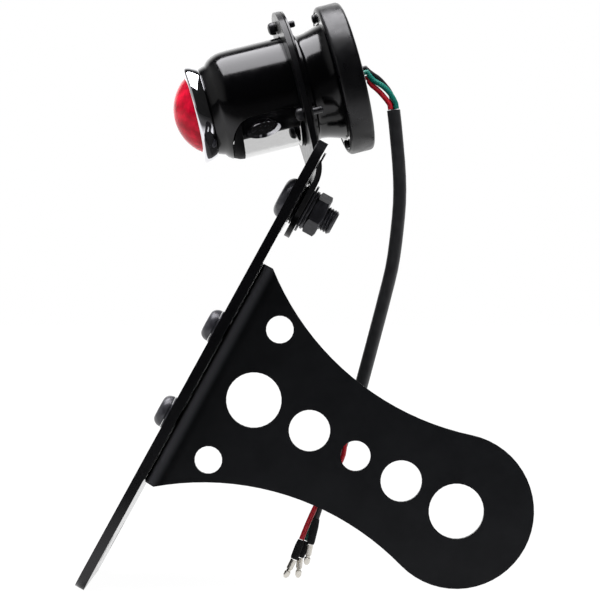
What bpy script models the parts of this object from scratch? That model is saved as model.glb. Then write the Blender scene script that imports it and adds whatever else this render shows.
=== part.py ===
"""Side mount license plate holder for a motorbike: a flat backing plate, a folded steel arm that
clamps under the axle nut, and a small bullet tail lamp with a clear window that lights the plate.

The bracket is modelled in its own frame, where X leaves the plate's front face, Z runs up the plate
from its centre and Y goes across it. An empty leans that frame until the plate's foot and the arm's
round end both touch the floor. Sizes are in metres.
"""

import math

import bmesh
import bpy
from mathutils import Vector

MM = 0.001
SEAT = 0.25 * MM  # the gap kept between pieces that bear on each other
BOLT_CLEARANCE = 0.3 * MM  # radial room of a bolt in its hole
COARSE, MEDIUM, FINE = 20, 32, 40  # sides of a fastener, of a small turned part and of the lamp

# Backing plate
PLATE_LENGTH = 177.8 * MM
PLATE_WIDTH = 101.6 * MM
PLATE_THICKNESS = 3.5 * MM
PLATE_CORNER = 8.3 * MM
SLOT_INSET = 15.9 * MM  # from the plate's edges to the slots' centres
SLOT_LENGTH = 12.0 * MM
SLOT_WIDTH = 6.6 * MM
NOTCH_CORNER = 3.0 * MM  # at the notch's foot
NOTCH_CLEARANCE = 0.8 * MM

# Side arm, folded from one sheet
SHEET = 3.2 * MM
ARM_BEND = 6.8 * MM  # outer radius of the fold
ARM_REACH = 101.3 * MM  # from the plate's front face to the axle hole
ARM_DROP = 2.2 * MM  # how far the arm's axis lies below the plate's centre
ARM_END_RADIUS = 27.26 * MM
ARM_WAIST = 21.9 * MM  # half the width at the narrowest place
ARM_SHOULDER = 3.9 * MM  # where the curved sides leave the square flange edge
FLANGE_HALF_LENGTH = 43.7 * MM
FLANGE_DEPTH = 26.0 * MM
WEB_INSET = 12.8 * MM  # from the plate's side edge to the web's outer face
AXLE_HOLE = 9.71 * MM
LIGHTENING_HOLES = (  # distance from the plate's face and radius, as shares of the arm's reach
    (0.1994, 0.0960),
    (0.4195, 0.0719),
    (0.6012, 0.0525),
    (0.7823, 0.0719),
)
SMALL_HOLE = 4.86 * MM
SMALL_HOLE_REACH = 16.3 * MM
SMALL_HOLE_RISE = 26.1 * MM

# Bolts that hold the arm to the plate
ARM_BOLT_RISE = 17.4 * MM  # either side of their middle
ARM_BOLT_DROP = 3.7 * MM  # how far their middle lies below the plate's centre
ARM_BOLT = 3.0 * MM  # shank radius
ARM_BOLT_HEAD = 6.0 * MM
ARM_BOLT_HEAD_FLAT = 3.4 * MM
ARM_BOLT_HEAD_HEIGHT = 3.3 * MM
ARM_WASHER = 6.1 * MM
ARM_WASHER_THICKNESS = 0.7 * MM
ARM_NUT_FLATS = 10.0 * MM
ARM_NUT_HEIGHT = 5.0 * MM
THREAD_PAST_NUT = 3.0 * MM

# Bolt that holds the lamp's bracket
LAMP_BOLT_BELOW_TOP = 22.3 * MM
LAMP_BOLT = 4.75 * MM
LAMP_BOLT_HEAD = 7.9 * MM
LAMP_BOLT_HEAD_FLAT = 4.4 * MM
LAMP_BOLT_HEAD_HEIGHT = 3.4 * MM
SPACER_RADIUS = 8.0 * MM
SPACER_THICKNESS = 0.6 * MM
LAMP_WASHER = 9.2 * MM
LAMP_WASHER_THICKNESS = 0.8 * MM
LOCK_WASHER = 7.6 * MM
LOCK_WASHER_THICKNESS = 1.0 * MM
LOCK_WASHER_SLIT = 1.2 * MM
LAMP_NUT_FLATS = 14.0 * MM
LAMP_NUT_HEIGHT = 5.0 * MM
LAMP_THREAD_PAST_NUT = 4.4 * MM

# Lamp bracket: a tear-drop strap, bent between its bolt and its ring
LAMP_TURN = math.radians(-7.0)  # the lamp is turned a little about its bolt
LAMP_DIP = math.radians(14.3)  # its axis points this far below the horizontal
STRAP_THICKNESS = 2.06 * MM
STRAP_BEND = 11.0 * MM  # radius of the bend's middle
STRAP_RISE = 7.0 * MM  # from the bolt to the start of the bend
TAB_STRAIGHT = 29.2 * MM  # from the end of the bend to the ring's centre
STRAP_END = 12.5 * MM
RING_RADIUS = 29.2 * MM
RING_HOLE_ROOM = 0.35 * MM  # radial room of the housing in the ring

# Lamp, along its own axis: X runs back from the ring's front face
HOUSING_RADIUS = 20.1 * MM
HOUSING_WALL = 1.8 * MM
HOUSING_FLANGE_THICKNESS = 0.7 * MM
SHOULDER = (  # station, radius
    (-22.85 * MM, 19.95 * MM), (-24.2 * MM, 19.7 * MM), (-25.55 * MM, 19.2 * MM),
    (-27.0 * MM, 18.5 * MM), (-28.1 * MM, 17.7 * MM), (-28.95 * MM, 16.6 * MM),
)
NECK_RADIUS = 15.2 * MM
NECK_END = -34.65 * MM
WINDOW_START = -26.55 * MM
WINDOW_END = -1.45 * MM
WINDOW_DROP = 8.2 * MM  # the window's edges lie this far below the lamp's axis
WINDOW_CORNER = 9.0 * MM
WINDOW_SEAL = 3.8 * MM  # the black band in front of the clear strip
WINDOW_THICKNESS = 1.3 * MM
WINDOW_INSET = 0.35 * MM
BEZEL_REAR = -31.85 * MM
BEZEL_FRONT = -37.05 * MM
BEZEL_RADIUS = 17.9 * MM
BEZEL_REAR_RADIUS = 16.9 * MM
LENS_RADIUS = 13.7 * MM
LENS_HEIGHT = 6.9 * MM
LENS_WALL = 1.6 * MM
FLANGE_SCREW_CIRCLE = 23.9 * MM
FLANGE_SCREWS = 3
FLANGE_SCREW_HEAD = 2.35 * MM
FLANGE_SCREW_HEAD_HEIGHT = 2.6 * MM
FLANGE_SCREW_END = 7.1 * MM
SCREW = 1.25 * MM  # shank radius of the lamp's screws

# Lamp, behind the ring
BODY_PROFILE = (  # station, radius
    (4.9 * MM, 20.0 * MM), (5.5 * MM, 19.4 * MM), (6.5 * MM, 19.2 * MM), (8.75 * MM, 19.5 * MM),
    (11.75 * MM, 20.35 * MM), (14.6 * MM, 21.3 * MM),
)
BODY_WALL = 1.6 * MM
BODY_FLANGE = 25.5 * MM
BODY_FLANGE_START = 15.0 * MM
BODY_FLANGE_THICKNESS = 1.5 * MM
BULKHEAD_START = 6.2 * MM
BULKHEAD_THICKNESS = 1.6 * MM
CUP_FRONT = 14.8 * MM
CUP_REAR = 24.05 * MM
CUP_RADIUS = 27.5 * MM
CUP_WALL = 1.6 * MM
CUP_RIM = 21.5 * MM  # inner radius of the thick rim that takes the screws
CUP_EDGE = 1.5 * MM
CUP_SCREW_CIRCLE = 23.7 * MM
CUP_SCREWS = 2
CUP_SCREW_HEAD = 1.7 * MM
CUP_SCREW_HEAD_HEIGHT = 1.2 * MM
CUP_SCREW_END = 20.0 * MM
GROMMET_RADIUS = 4.6 * MM
GROMMET_NECK = 3.4 * MM
GROMMET_LIP = 1.3 * MM

# Inside the lamp
CORE_RADIUS = 8.4 * MM
CORE_FRONT = -21.2 * MM
CORE_COLLAR = 13.2 * MM
CORE_COLLAR_THICKNESS = 4.0 * MM
EYE_STATION = -13.75 * MM
EYE_TURN = math.radians(17.0)
EYE_REACH = 11.0 * MM  # from the lamp's axis to the eye's seat
EYE_RADIUS = 6.4 * MM
EYE_HOLE = 5.2 * MM
EYE_HEIGHT = 1.2 * MM
BOARD_RADIUS = 12.5 * MM
BOARD_THICKNESS = 1.4 * MM

# Cord: the wires, the sleeve over them and the bullet terminals
WIRE = 0.97 * MM
WIRE_GAP = 0.7 * MM  # from the grommet's face to a wire's end
SLEEVE = 2.45 * MM
BOOT = 1.45 * MM
TERMINAL = 1.15 * MM
SLEEVE_ROUTE = (
    (32.3, 5.6, 170.4), (32.8, 5.5, 166.0), (34.2, 5.0, 150.1), (34.5, 4.5, 139.5), (33.8, 4.2, 129.4),
    (31.9, 3.6, 114.7), (28.8, 3.1, 101.8), (24.9, 2.5, 87.0), (20.9, 2.0, 72.1), (16.6, 1.5, 56.6),
)
WIRE_LEAD = 2.0 * MM  # the straight run of a wire at the grommet and at the sleeve
UPPER_WIRES = {  # place at the grommet, across and above its centre; place in the sleeve; the way between
    "black": ((0.9, 1.9), 180, ((23.7, 7.4, 184.1), (26.6, 7.5, 182.2), (29.0, 7.3, 179.7), (31.3, 7.1, 176.4))),
    "green": ((-0.9, 0.0), -60, ((24.4, 5.4, 181.6), (28.1, 4.9, 179.3), (31.2, 4.8, 176.2))),
    "red": ((0.6, -1.8), 60, ((23.7, 6.2, 180.2), (26.6, 5.7, 177.7), (29.1, 5.2, 174.9))),
}
LOWER_WIRES = {  # place in the sleeve; the way to the boot
    "red": (60, ((14.7, 0.5, 50.0), (13.8, 0.3, 45.0), (10.9, 0.2, 39.0), (6.9, 0.1, 32.0), (3.7, 0.0, 26.2),
                 (0.9, 0.0, 20.0), (-1.2, 0.0, 14.8))),
    "green": (180, ((14.9, 3.2, 49.4), (12.4, 3.4, 44.0), (9.9, 3.3, 38.0), (7.6, 3.1, 32.0), (5.2, 2.9, 25.6),
                    (2.6, 2.6, 19.0), (0.5, 2.4, 14.2))),
    "black": (-60, ((13.0, -1.4, 49.2), (11.7, -2.2, 44.0), (10.2, -2.5, 38.6), (8.1, -2.5, 33.0),
                    (6.0, -2.3, 27.6), (4.3, -2.0, 22.6))),
}
BOOT_ENDS = {"red": (-3.9, 0.0, 7.7), "green": (-1.7, 2.3, 8.2), "black": (2.0, -1.4, 13.2)}
TERMINAL_TIPS = {"red": (-7.2, 0.0, 1.0), "green": (-2.5, 2.1, 0.8), "black": (0.5, -1.0, 5.7)}

# The stance follows from the sizes: the plate's front lower edge and the arm's end are level
FOOT_TO_AXLE = math.hypot(ARM_REACH, PLATE_LENGTH / 2 - ARM_DROP)
LEAN = math.acos(ARM_END_RADIUS / FOOT_TO_AXLE) - math.atan2(ARM_REACH, PLATE_LENGTH / 2 - ARM_DROP)
STAND_RISE = PLATE_LENGTH / 2 * math.cos(LEAN)
HEEL = -PLATE_THICKNESS * math.cos(LEAN) - PLATE_LENGTH / 2 * math.sin(LEAN)
TOE = ARM_REACH * math.cos(LEAN) - ARM_DROP * math.sin(LEAN) + ARM_END_RADIUS
STAND_SHIFT = -(HEEL + TOE) / 2

# Places that several pieces share
WEB_FACE_DEPTH = WEB_INSET - PLATE_WIDTH / 2
ARM_BOLT_DEPTH = WEB_FACE_DEPTH + (ARM_BEND + FLANGE_DEPTH) / 2
LAMP_BOLT_RISE = PLATE_LENGTH / 2 - LAMP_BOLT_BELOW_TOP
STRAP_BACK = SEAT + SPACER_THICKNESS + SEAT
STRAP_MIDDLE = STRAP_BACK + STRAP_THICKNESS / 2
LAMP_TILT = LAMP_DIP + LEAN
RING_MIDDLE = (
    STRAP_MIDDLE - STRAP_BEND * (1 - math.cos(LAMP_TILT)) - TAB_STRAIGHT * math.sin(LAMP_TILT),
    STRAP_RISE + STRAP_BEND * math.sin(LAMP_TILT) + TAB_STRAIGHT * math.cos(LAMP_TILT),
)
LAMP_ORIGIN = (
    RING_MIDDLE[0] - STRAP_THICKNESS / 2 * math.cos(LAMP_TILT),
    RING_MIDDLE[1] - STRAP_THICKNESS / 2 * math.sin(LAMP_TILT),
)
RING_DISTANCE = STRAP_RISE + STRAP_BEND * LAMP_TILT + TAB_STRAIGHT  # bolt to ring, along the sheet
HOUSING_FLANGE_START = STRAP_THICKNESS + SEAT
BODY_START = HOUSING_FLANGE_START + HOUSING_FLANGE_THICKNESS + SEAT
LENS_BASE = BEZEL_FRONT + 1.0 * MM
LENS_REAR = NECK_END - SEAT


# Materials

def material(name, colour, roughness, metallic=0.0, transmission=0.0):
    made = bpy.data.materials.new(name)
    made.use_nodes = True
    shader = made.node_tree.nodes["Principled BSDF"]
    shader.inputs["Base Color"].default_value = (*colour, 1.0)
    shader.inputs["Roughness"].default_value = roughness
    shader.inputs["Metallic"].default_value = metallic
    shader.inputs["Transmission Weight"].default_value = transmission
    return made


# Outlines

def arc(centre, radius, start, end, steps):
    """Points of an arc, from the angle start to the angle end."""
    return [
        (centre[0] + radius * math.cos(start + (end - start) * i / steps),
         centre[1] + radius * math.sin(start + (end - start) * i / steps))
        for i in range(steps + 1)
    ]


def filleted(corners, steps=6):
    """A closed outline from corners (x, y, radius), each one rounded to its own radius."""
    points = []
    for i, (x, y, radius) in enumerate(corners):
        here = Vector((x, y))
        before = (Vector(corners[i - 1][:2]) - here).normalized()
        after = (Vector(corners[(i + 1) % len(corners)][:2]) - here).normalized()
        if radius <= 0:
            points.append((x, y))
            continue
        half = before.angle(after) / 2
        centre = here + (before + after).normalized() * radius / math.sin(half)
        first = here + before * radius / math.tan(half) - centre
        last = here + after * radius / math.tan(half) - centre
        begin = math.atan2(first.y, first.x)
        sweep = (math.atan2(last.y, last.x) - begin + math.pi) % (2 * math.pi) - math.pi
        points += arc(centre, radius, begin, begin + sweep, steps)
    return points


def circle(centre, radius, sides):
    return arc(centre, radius, 0, 2 * math.pi * (1 - 1 / sides), sides - 1)


def slot(centre, length, width, steps=8):
    """A slot whose long way is the second coordinate."""
    run = (length - width) / 2
    top = arc((centre[0], centre[1] + run), width / 2, 0, math.pi, steps)
    bottom = arc((centre[0], centre[1] - run), width / 2, math.pi, 2 * math.pi, steps)
    return top + bottom


def hexagon(flats):
    """A hexagon with two corners on its second axis."""
    return arc((0, 0), flats / math.sqrt(3), math.pi / 6, math.pi * 11 / 6, 5)


# Meshes

PLANES = {  # where an outline's two coordinates and its extrusion go
    "across": lambda a, b, c: (c, a, b),  # outline in Y and Z, extruded along X
    "side": lambda a, b, c: (a, c, b),  # outline in X and Z, extruded along Y
    "plan": lambda a, b, c: (a, b, c),  # outline in X and Y, extruded along Z
}


def extruded(outlines, plane, start, end):
    """One solid for each outline, extruded from start to end."""
    place = PLANES[plane]
    bm = bmesh.new()
    for outline in outlines:
        face = bm.faces.new([bm.verts.new(place(a, b, start)) for a, b in outline])
        moved = bmesh.ops.extrude_face_region(bm, geom=[face])["geom"]
        shift = Vector(place(0, 0, end - start))
        bmesh.ops.translate(bm, vec=shift, verts=[v for v in moved if isinstance(v, bmesh.types.BMVert)])
    return bm


def turned(profile, sides, ring=False):
    """A solid of revolution about X from points (x, radius); a ring's profile closes on itself."""
    bm = bmesh.new()
    verts = [bm.verts.new((x, 0, radius)) for x, radius in profile]
    pairs = list(zip(verts, verts[1:])) + ([(verts[-1], verts[0])] if ring else [])
    edges = [bm.edges.new(pair) for pair in pairs]
    bmesh.ops.spin(bm, geom=verts + edges, cent=(0, 0, 0), axis=(1, 0, 0), dvec=(0, 0, 0),
                   angle=2 * math.pi, steps=sides, use_merge=True)
    bmesh.ops.remove_doubles(bm, verts=bm.verts, dist=0.001 * MM)
    return bm


def build(name, bm, finish, parent=None, location=(0, 0, 0), rotation=(0, 0, 0)):
    """A named object from a mesh, with its faces pointing out."""
    bmesh.ops.recalc_face_normals(bm, faces=bm.faces)
    mesh = bpy.data.meshes.new(name)
    bm.to_mesh(mesh)
    bm.free()
    mesh.shade_smooth()
    mesh.set_sharp_from_angle(angle=math.radians(35))
    made = bpy.data.objects.new(name, mesh)
    bpy.context.scene.collection.objects.link(made)
    made.parent = parent
    made.location = location
    made.rotation_euler = rotation
    if finish:
        mesh.materials.append(finish)
    return made


def boolean(target, bm, operation, location=(0, 0, 0), rotation=(0, 0, 0)):
    """Cuts, joins or keeps what a second mesh, in the target's own frame, covers."""
    tool = build(f"tool_{target.name}_{len(target.modifiers)}", bm, None, target, location, rotation)
    tool.hide_render = True
    tool.display_type = "WIRE"
    change = target.modifiers.new(operation.lower(), "BOOLEAN")
    change.operation = operation
    change.solver = "EXACT"
    change.object = tool


def empty(name, parent=None, location=(0, 0, 0), rotation=(0, 0, 0)):
    made = bpy.data.objects.new(name, None)
    bpy.context.scene.collection.objects.link(made)
    made.parent = parent
    made.location = location
    made.rotation_euler = rotation
    return made


# Fasteners: their axis is X, and X = 0 is the face that the head or nut bears on

def domed(radius, flat, height, steps=6):
    """Profile of a domed head, from its rim at X = 0 to its flat top at X = -height."""
    return [
        (-height * math.sin(math.pi / 2 * i / steps), flat + (radius - flat) * math.cos(math.pi / 2 * i / steps))
        for i in range(steps + 1)
    ]


def button_bolt(name, finish, parent, location, head, flat, height, shank, length, socket):
    """A button head bolt: its head points to -X and its shank to +X, with a hexagon socket."""
    end = 0.6 * MM
    profile = [(length, 0), (length, shank - end), (length - end, shank), (0, shank)]
    profile += domed(head, flat, height) + [(-height, 0)]
    made = build(name, turned(profile, COARSE), finish, parent, location)
    boolean(made, extruded([hexagon(socket)], "across", -height - MM, -height * 0.4), "DIFFERENCE")
    return made


def washer(name, finish, parent, location, radius, hole, thickness):
    edge = min(0.15 * MM, thickness / 4)
    profile = [(0, hole), (0, radius - edge), (edge, radius), (thickness - edge, radius),
               (thickness, radius - edge), (thickness, hole)]
    return build(name, turned(profile, COARSE, ring=True), finish, parent, location)


def hex_nut(name, finish, parent, location, flats, hole, height):
    """A hexagon nut with both faces chamfered."""
    corner = flats / math.sqrt(3)
    bevel = corner - flats / 2
    made = build(name, extruded([hexagon(flats)], "across", 0, height), finish, parent, location)
    blank = [(-MM, 0), (-MM, corner - 2 * bevel), (0, corner - 1.15 * bevel), (0.55 * bevel, corner * 1.02),
             (height - 0.55 * bevel, corner * 1.02), (height, corner - 1.15 * bevel),
             (height + MM, corner - 2 * bevel), (height + MM, 0)]
    boolean(made, turned(blank, MEDIUM), "INTERSECT")
    boolean(made, turned([(-MM, 0), (-MM, hole), (height + MM, hole), (height + MM, 0)], COARSE), "DIFFERENCE")
    return made


def pan_screw(name, finish, parent, location, head, height, length):
    """A small pan head screw: its head points to -X."""
    profile = [
        (length, 0), (length, SCREW * 0.8), (length - 0.5 * MM, SCREW), (0, SCREW), (0, head),
        (-height * 0.55, head), (-height * 0.85, head * 0.82), (-height, head * 0.45), (-height, 0),
    ]
    return build(name, turned(profile, 16), finish, parent, location)


# Plate and arm

def notch_size():
    """Half width and depth of the notch that the lamp's bracket crosses the plate through."""
    wide, low = 0, LAMP_BOLT_BELOW_TOP
    for i in range(101):
        distance = STRAP_RISE + TAB_STRAIGHT * i / 100
        (x, z), angle = strap_path(distance)
        for way in (-STRAP_THICKNESS / 2, STRAP_THICKNESS / 2):
            if not -PLATE_THICKNESS - SEAT < x + way * math.cos(angle) < SEAT:
                continue
            for side in (-1, 1):
                y, up = side * strap_half_width(distance), z + way * math.sin(angle)
                wide = max(wide, abs(y * math.cos(LAMP_TURN) - up * math.sin(LAMP_TURN)))
                low = min(low, y * math.sin(LAMP_TURN) + up * math.cos(LAMP_TURN))
    return wide + NOTCH_CLEARANCE, LAMP_BOLT_BELOW_TOP - low + NOTCH_CLEARANCE


def make_plate(finish, parent):
    half, depth = notch_size()
    wide, high = PLATE_WIDTH / 2, PLATE_LENGTH / 2
    outline = filleted([
        (-wide, -high, PLATE_CORNER), (wide, -high, PLATE_CORNER), (wide, high, PLATE_CORNER),
        (half, high, PLATE_CORNER), (half, high - depth, NOTCH_CORNER),
        (-half, high - depth, NOTCH_CORNER), (-half, high, PLATE_CORNER), (-wide, high, PLATE_CORNER),
    ])
    plate = build("backing_plate", extruded([outline], "across", -PLATE_THICKNESS, 0), finish, parent)
    openings = [
        slot((across * (wide - SLOT_INSET), along * (high - SLOT_INSET)), SLOT_LENGTH, SLOT_WIDTH)
        for across in (-1, 1) for along in (-1, 1)
    ]
    openings += [
        circle((ARM_BOLT_DEPTH, side * ARM_BOLT_RISE - ARM_BOLT_DROP), ARM_BOLT + BOLT_CLEARANCE, COARSE)
        for side in (-1, 1)
    ]
    openings.append(circle((0, LAMP_BOLT_RISE), LAMP_BOLT + BOLT_CLEARANCE, COARSE))
    boolean(plate, extruded(openings, "across", -PLATE_THICKNESS - MM, MM), "DIFFERENCE")


def arm_side():
    """Radius of a waisted side, and how far its centre lies behind the axle hole: it leaves the flange at
    the shoulder, passes the waist and runs into the round end."""
    low, high = FLANGE_HALF_LENGTH, 20 * ARM_REACH
    for _ in range(60):
        radius = (low + high) / 2
        back = math.sqrt((radius + ARM_END_RADIUS) ** 2 - (radius + ARM_WAIST) ** 2)
        front = math.sqrt(radius ** 2 - (radius + ARM_WAIST - FLANGE_HALF_LENGTH) ** 2)
        if back + front > ARM_REACH - ARM_SHOULDER:
            high = radius
        else:
            low = radius
    return radius, back


def arm_outline():
    """The web seen from its face: a flange edge, two waisted sides and a round end."""
    radius, back = arm_side()
    side = radius + ARM_WAIST
    centre = (ARM_REACH - back, side)
    start = math.asin((side - FLANGE_HALF_LENGTH) / radius) - math.pi
    touch = math.atan2(-side, back)
    upper = arc(centre, radius, start, touch, 20)
    swing = math.atan2(side, -back)
    end = arc((ARM_REACH, 0), ARM_END_RADIUS, swing, -swing, 32)[1:-1]
    lower = [(x, -z) for x, z in reversed(upper)]
    square = [(-MM, -FLANGE_HALF_LENGTH), (-MM, FLANGE_HALF_LENGTH)]
    return [(x, z - ARM_DROP) for x, z in square + upper + end + lower]


def make_arm(finish, parent):
    near, tip = WEB_FACE_DEPTH, ARM_REACH + ARM_END_RADIUS + MM
    far = near + FLANGE_DEPTH
    bend = (SEAT + ARM_BEND, near + ARM_BEND)
    section = [(SEAT + SHEET, far), (SEAT, far)]
    section += arc(bend, ARM_BEND, math.pi, math.pi * 1.5, 8)
    section += [(tip, near), (tip, near + SHEET)]
    section += arc(bend, ARM_BEND - SHEET, math.pi * 1.5, math.pi, 8)
    low, high = -FLANGE_HALF_LENGTH - ARM_DROP, FLANGE_HALF_LENGTH - ARM_DROP
    arm = build("side_arm", extruded([section], "plan", low, high), finish, parent)
    boolean(arm, extruded([arm_outline()], "side", near - MM, far + MM), "INTERSECT")
    holes = [
        circle((station * ARM_REACH, -ARM_DROP), radius * ARM_REACH, MEDIUM) for station, radius in LIGHTENING_HOLES
    ]
    holes.append(circle((ARM_REACH, -ARM_DROP), AXLE_HOLE, MEDIUM))
    holes += [
        circle((SMALL_HOLE_REACH, side * SMALL_HOLE_RISE - ARM_DROP), SMALL_HOLE, COARSE) for side in (-1, 1)
    ]
    boolean(arm, extruded(holes, "side", near - MM, near + SHEET + MM), "DIFFERENCE")
    bolts = [
        circle((ARM_BOLT_DEPTH, side * ARM_BOLT_RISE - ARM_BOLT_DROP), ARM_BOLT + BOLT_CLEARANCE, COARSE)
        for side in (-1, 1)
    ]
    boolean(arm, extruded(bolts, "across", SEAT - MM, SEAT + SHEET + MM), "DIFFERENCE")


def make_arm_bolts(finish, parent):
    hole = ARM_BOLT + BOLT_CLEARANCE
    head_washer = -PLATE_THICKNESS - SEAT - ARM_WASHER_THICKNESS
    head_seat = head_washer - SEAT
    nut_washer = SEAT + SHEET + SEAT
    nut = nut_washer + ARM_WASHER_THICKNESS + SEAT
    length = nut + ARM_NUT_HEIGHT + THREAD_PAST_NUT - head_seat
    for side, place in ((1, "upper"), (-1, "lower")):
        def at(x):
            return (x, ARM_BOLT_DEPTH, side * ARM_BOLT_RISE - ARM_BOLT_DROP)

        washer(f"arm_bolt_washer_{place}", finish, parent, at(head_washer), ARM_WASHER, hole, ARM_WASHER_THICKNESS)
        button_bolt(f"arm_bolt_{place}", finish, parent, at(head_seat), ARM_BOLT_HEAD, ARM_BOLT_HEAD_FLAT,
                    ARM_BOLT_HEAD_HEIGHT, ARM_BOLT, length, socket=4.0 * MM)
        washer(f"arm_nut_washer_{place}", finish, parent, at(nut_washer), ARM_WASHER, hole, ARM_WASHER_THICKNESS)
        hex_nut(f"arm_nut_{place}", finish, parent, at(nut), ARM_NUT_FLATS, hole, ARM_NUT_HEIGHT)


# Lamp bracket and its bolt

def strap_half_width(distance):
    """Half the tear-drop's width, by the distance from the bolt along the sheet."""
    lean = math.asin((RING_RADIUS - STRAP_END) / RING_DISTANCE)
    low, high = -STRAP_END * math.sin(lean), RING_DISTANCE - RING_RADIUS * math.sin(lean)
    if distance < low:
        return math.sqrt(max(STRAP_END ** 2 - distance ** 2, 0))
    if distance > high:
        return math.sqrt(max(RING_RADIUS ** 2 - (distance - RING_DISTANCE) ** 2, 0))
    return STRAP_END * math.cos(lean) + (distance - low) * math.tan(lean)


def strap_path(distance):
    """A point of the sheet's middle and its direction, by the distance from the bolt."""
    bend = STRAP_BEND * LAMP_TILT
    angle = min(max((distance - STRAP_RISE) / STRAP_BEND, 0), LAMP_TILT)
    x = STRAP_MIDDLE - STRAP_BEND * (1 - math.cos(angle))
    z = min(distance, STRAP_RISE) + STRAP_BEND * math.sin(angle)
    past = max(distance - STRAP_RISE - bend, 0)
    return (x - past * math.sin(angle), z + past * math.cos(angle)), angle


def make_bracket(finish, parent):
    """The tear-drop is lofted through cross-sections that follow the bend, then drilled."""
    lean = math.asin((RING_RADIUS - STRAP_END) / RING_DISTANCE)
    bend = STRAP_BEND * LAMP_TILT
    foot = [-STRAP_END * math.cos(a) for a in (0.1 + i * (math.pi / 2 - lean - 0.1) / 7 for i in range(8))]
    fold = [STRAP_RISE + bend * i / 8 for i in range(9)]
    crown = [RING_DISTANCE - RING_RADIUS * math.sin(lean + i * (-math.pi / 2 - lean + 0.08) / 22)
             for i in range(23)]
    bm = bmesh.new()
    rows = []
    for distance in foot + fold + crown:
        (x, z), angle = strap_path(distance)
        half = strap_half_width(distance)
        out = Vector((math.cos(angle), 0, math.sin(angle))) * STRAP_THICKNESS / 2
        middle = Vector((x, 0, z))
        rows.append([
            bm.verts.new(middle + out * way + Vector((0, side * half, 0)))
            for way, side in ((1, -1), (1, 1), (-1, 1), (-1, -1))
        ])
    for below, above in zip(rows, rows[1:]):
        for i in range(4):
            bm.faces.new((below[i - 1], below[i], above[i], above[i - 1]))
    bm.faces.new(rows[0])
    bm.faces.new(reversed(rows[-1]))
    bracket = build("lamp_bracket", bm, finish, parent)
    reach = STRAP_MIDDLE + STRAP_THICKNESS
    boolean(bracket, turned([(-reach, 0), (-reach, LAMP_BOLT + BOLT_CLEARANCE),
                             (reach, LAMP_BOLT + BOLT_CLEARANCE), (reach, 0)], COARSE), "DIFFERENCE")
    place, tilt = (LAMP_ORIGIN[0], 0, LAMP_ORIGIN[1]), (0, -LAMP_TILT, 0)
    through = STRAP_THICKNESS + MM
    ring = extruded([circle((0, 0), HOUSING_RADIUS + RING_HOLE_ROOM, FINE)], "across", -MM, through)
    boolean(bracket, ring, "DIFFERENCE", place, tilt)
    boolean(bracket, screw_holes(FLANGE_SCREW_CIRCLE, FLANGE_SCREWS, -MM, through), "DIFFERENCE", place, tilt)


def make_lamp_bolt(finish, parent):
    """The bolt, its spacer, washers and nut. The bracket is clamped to the plate's front face."""
    hole = LAMP_BOLT + BOLT_CLEARANCE
    head_seat = -PLATE_THICKNESS - SEAT
    flat = STRAP_BACK + STRAP_THICKNESS + SEAT
    lock = flat + LAMP_WASHER_THICKNESS + SEAT
    nut = lock + LOCK_WASHER_THICKNESS + SEAT
    length = nut + LAMP_NUT_HEIGHT + LAMP_THREAD_PAST_NUT - head_seat
    button_bolt("lamp_bolt", finish, parent, (head_seat, 0, 0), LAMP_BOLT_HEAD, LAMP_BOLT_HEAD_FLAT,
                LAMP_BOLT_HEAD_HEIGHT, LAMP_BOLT, length, socket=5.6 * MM)
    washer("lamp_bolt_spacer", finish, parent, (SEAT, 0, 0), SPACER_RADIUS, hole, SPACER_THICKNESS)
    washer("lamp_bolt_washer", finish, parent, (flat, 0, 0), LAMP_WASHER, hole, LAMP_WASHER_THICKNESS)
    split = washer("lamp_bolt_lock_washer", finish, parent, (lock, 0, 0), LOCK_WASHER, hole,
                   LOCK_WASHER_THICKNESS)
    slit = [(-LOCK_WASHER_SLIT / 2, 0), (LOCK_WASHER_SLIT / 2, 0), (LOCK_WASHER_SLIT / 2, 2 * LOCK_WASHER),
            (-LOCK_WASHER_SLIT / 2, 2 * LOCK_WASHER)]
    boolean(split, extruded([slit], "across", -MM, LOCK_WASHER_THICKNESS + MM), "DIFFERENCE",
            rotation=(math.radians(200), 0, 0))
    hex_nut("lamp_bolt_nut", finish, parent, (nut, 0, 0), LAMP_NUT_FLATS, hole, LAMP_NUT_HEIGHT)


# Lamp

def screw_centres(radius, count):
    """Screws round the lamp, the first one on top."""
    turns = [2 * math.pi * i / count for i in range(count)]
    return [(radius * math.sin(turn), radius * math.cos(turn)) for turn in turns]


def screw_holes(radius, count, start, end):
    holes = [circle(centre, SCREW + BOLT_CLEARANCE, 16) for centre in screw_centres(radius, count)]
    return extruded(holes, "across", start, end)


def window_prism(inset, front):
    """What the window takes out of the housing: open below, with two rounded corners above."""
    deep = HOUSING_RADIUS + 5 * MM
    outline = filleted([
        (front, -deep, 0), (WINDOW_END - inset, -deep, 0),
        (WINDOW_END - inset, -WINDOW_DROP - inset, 2 * MM), (front, -WINDOW_DROP - inset, WINDOW_CORNER),
    ], 10)
    return extruded([outline], "side", -deep, deep)


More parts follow.
